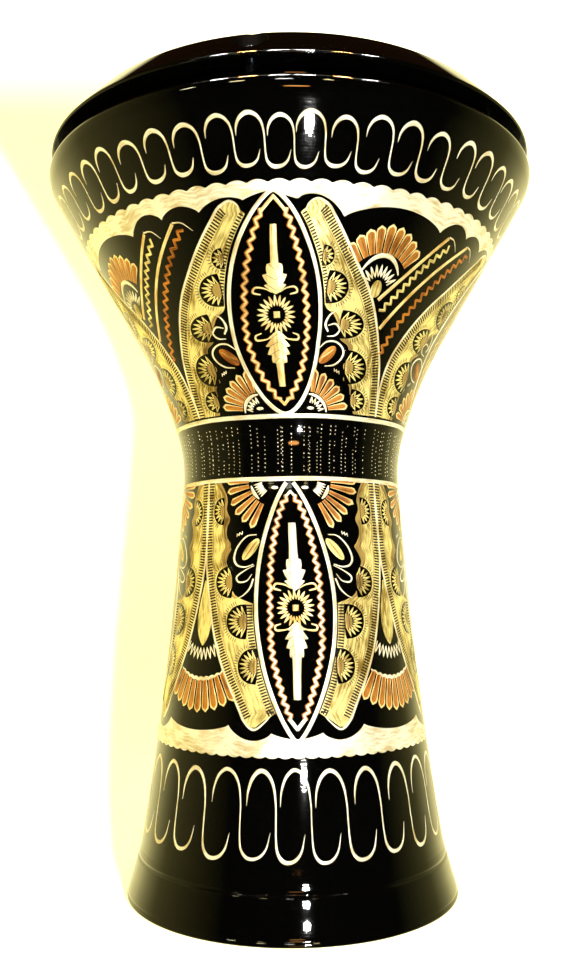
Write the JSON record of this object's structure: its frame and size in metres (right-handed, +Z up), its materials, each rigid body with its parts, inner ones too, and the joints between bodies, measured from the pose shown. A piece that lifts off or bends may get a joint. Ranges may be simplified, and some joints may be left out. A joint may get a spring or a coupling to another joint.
{
  "type": "goblet drum",
  "caption": "Goblet hand drum (darbuka): lacquered cast aluminium shell with engraved bands, and a plastic drumhead tensioned by a sloping ring and socket screws.",
  "frame": {"origin": "centre of the foot's rim, on the surface the drum stands on", "axes": "+Z up along the drum's axis, from foot to drumhead; -Y is the side with the first screw, 8 degrees to its left"},
  "size_m": [0.2788, 0.2788, 0.443],
  "materials": {
    "black_lacquer": "gloss",
    "bare_aluminium": "satin",
    "zinc_steel": "satin",
    "mylar": "gloss",
    "silver_engraving": "satin",
    "gold_engraving": "satin",
    "copper_engraving": "satin"
  },
  "bodies": {
    "shell": {"shell": "black_lacquer", "drumhead_film": "mylar", "threaded_insert_1": "zinc_steel", "threaded_insert_2": "zinc_steel", "threaded_insert_3": "zinc_steel", "threaded_insert_4": "zinc_steel", "threaded_insert_5": "zinc_steel", "threaded_insert_6": "zinc_steel"},
    "tuning_ring": {"tuning_ring": "black_lacquer", "flesh_hoop": "bare_aluminium", "washer_1": "zinc_steel", "washer_2": "zinc_steel", "washer_3": "zinc_steel", "washer_4": "zinc_steel", "washer_5": "zinc_steel", "washer_6": "zinc_steel"},
    "tuning_screw_1": {"tuning_screw_1": "zinc_steel"},
    "tuning_screw_2": {"tuning_screw_2": "zinc_steel"},
    "tuning_screw_3": {"tuning_screw_3": "zinc_steel"},
    "tuning_screw_4": {"tuning_screw_4": "zinc_steel"},
    "tuning_screw_5": {"tuning_screw_5": "zinc_steel"},
    "tuning_screw_6": {"tuning_screw_6": "zinc_steel"}
  },
  "joints": [
    {"name": "ring_slide", "type": "slide", "parent": "shell", "child": "tuning_ring", "axis": [0, 0, 1], "range_m": [-0.002, 0.003]},
    {"name": "screw_1_turn", "type": "hinge", "parent": "tuning_ring", "child": "tuning_screw_1", "pos_m": [-0.01767, -0.12576, 0.4265], "axis": [0, 0, 1], "range_deg": [-721, 1081]},
    {"name": "screw_2_turn", "type": "hinge", "parent": "tuning_ring", "child": "tuning_screw_2", "pos_m": [0.10008, -0.07819, 0.4265], "axis": [0, 0, 1], "range_deg": [-721, 1081]},
    {"name": "screw_3_turn", "type": "hinge", "parent": "tuning_ring", "child": "tuning_screw_3", "pos_m": [0.11775, 0.04757, 0.4265], "axis": [0, 0, 1], "range_deg": [-721, 1081]},
    {"name": "screw_4_turn", "type": "hinge", "parent": "tuning_ring", "child": "tuning_screw_4", "pos_m": [0.01767, 0.12576, 0.4265], "axis": [0, 0, 1], "range_deg": [-721, 1081]},
    {"name": "screw_5_turn", "type": "hinge", "parent": "tuning_ring", "child": "tuning_screw_5", "pos_m": [-0.10008, 0.07819, 0.4265], "axis": [0, 0, 1], "range_deg": [-721, 1081]},
    {"name": "screw_6_turn", "type": "hinge", "parent": "tuning_ring", "child": "tuning_screw_6", "pos_m": [-0.11775, -0.04757, 0.4265], "axis": [0, 0, 1], "range_deg": [-721, 1081]}
  ],
  "couplings": [
    {"joint": "screw_1_turn", "follows": "ring_slide", "rad_per_m": 6283.2},
    {"joint": "screw_2_turn", "follows": "ring_slide", "rad_per_m": 6283.2},
    {"joint": "screw_3_turn", "follows": "ring_slide", "rad_per_m": 6283.2},
    {"joint": "screw_4_turn", "follows": "ring_slide", "rad_per_m": 6283.2},
    {"joint": "screw_5_turn", "follows": "ring_slide", "rad_per_m": 6283.2},
    {"joint": "screw_6_turn", "follows": "ring_slide", "rad_per_m": 6283.2}
  ]
}
